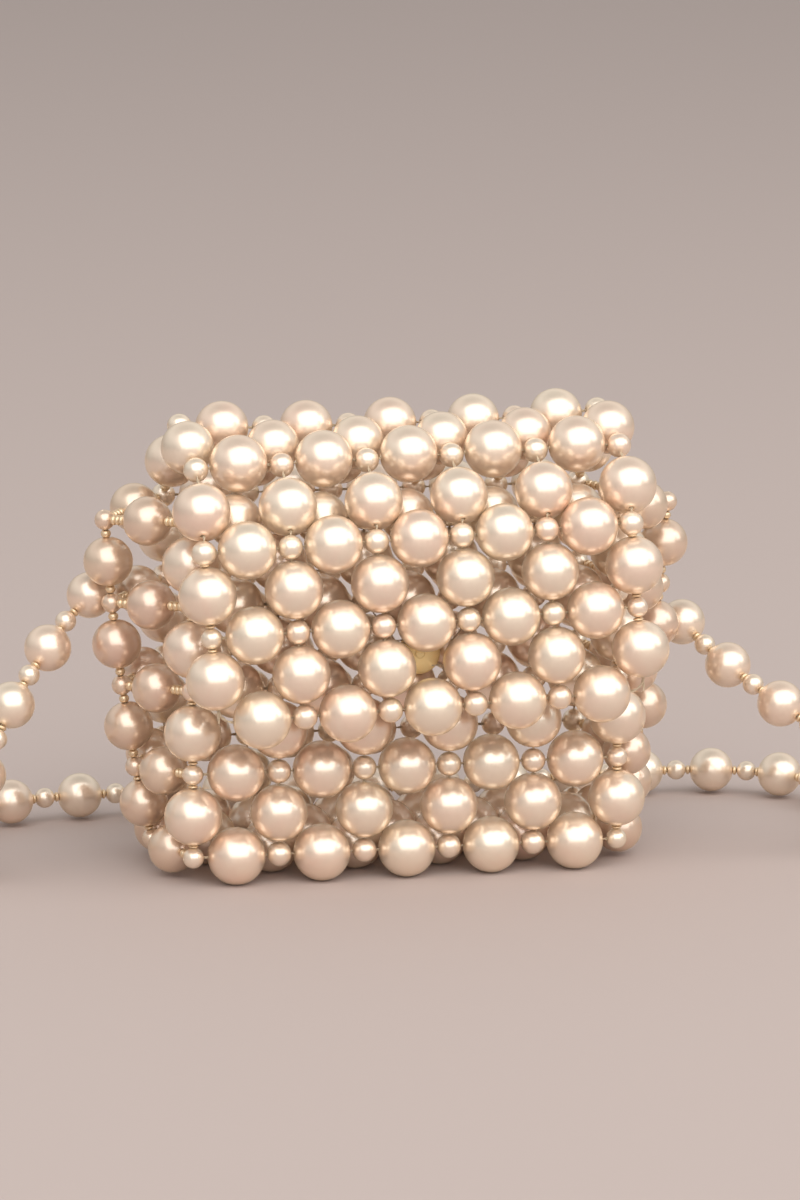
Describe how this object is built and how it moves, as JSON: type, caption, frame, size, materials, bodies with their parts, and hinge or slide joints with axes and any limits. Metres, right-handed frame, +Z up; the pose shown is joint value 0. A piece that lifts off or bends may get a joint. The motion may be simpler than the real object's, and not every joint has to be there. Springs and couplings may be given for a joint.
{
  "type": "evening bag",
  "caption": "Small box-shaped evening bag woven from imitation pearls, with bulging gussets, a front flap closed by a magnetic snap, and a pearl strap.",
  "frame": {"origin": "the flat at the foot of the middle bottom bead, on the ground, midway between the gussets", "axes": "+Z up, -Y towards the side that the flap hangs over, +X to the right seen from that side"},
  "size_m": [0.2479, 0.1064, 0.1163],
  "materials": {
    "front_pearl": "pearlescent ivory coating over a plastic bead",
    "side_pearl": "pearlescent ivory coating over a plastic bead, slightly pinker",
    "strap_pearl": "pearlescent ivory coating over a plastic bead",
    "snap_brass": "bright gold-coloured plating",
    "snap_magnet": "nickel-plated magnet"
  },
  "bodies": {
    "bag_body": {"front_course_1": "front_pearl", "front_course_2": "front_pearl", "front_course_3": "front_pearl", "front_course_4": "front_pearl", "front_rim": "front_pearl", "back_course_1": "front_pearl", "back_course_2": "front_pearl", "back_course_3": "front_pearl", "back_course_4": "front_pearl", "back_rim": "front_pearl", "bottom_course": "front_pearl", "left_gusset_course_1": "side_pearl", "left_gusset_course_2": "side_pearl", "left_gusset_course_3": "side_pearl", "left_gusset_course_4": "side_pearl", "right_gusset_course_1": "side_pearl", "right_gusset_course_2": "side_pearl", "right_gusset_course_3": "side_pearl", "right_gusset_course_4": "side_pearl", "left_gusset_rim": "side_pearl", "right_gusset_rim": "side_pearl", "snap_cup": "snap_brass", "snap_magnet": "snap_magnet", "bead_strap": "strap_pearl", "strap_end_bead_left": "strap_pearl", "strap_end_bead_right": "strap_pearl"},
    "flap_top": {"flap_roof_course": "front_pearl", "flap_top_course": "front_pearl"},
    "flap_front": {"flap_front_course_1": "front_pearl", "flap_front_course_2": "front_pearl", "flap_front_course_3": "front_pearl", "snap_stud": "snap_brass"}
  },
  "joints": [
    {"name": "flap_lift", "type": "hinge", "parent": "bag_body", "child": "flap_top", "pos_m": [0, 0.0198, 0.08873], "axis": [-1, 0, 0], "range_deg": [0, 115]},
    {"name": "flap_front_lift", "type": "hinge", "parent": "flap_top", "child": "flap_front", "pos_m": [0.0009, -0.0206, 0.1033], "axis": [-0.9996, 0, -0.0279], "range_deg": [0, 100]}
  ]
}
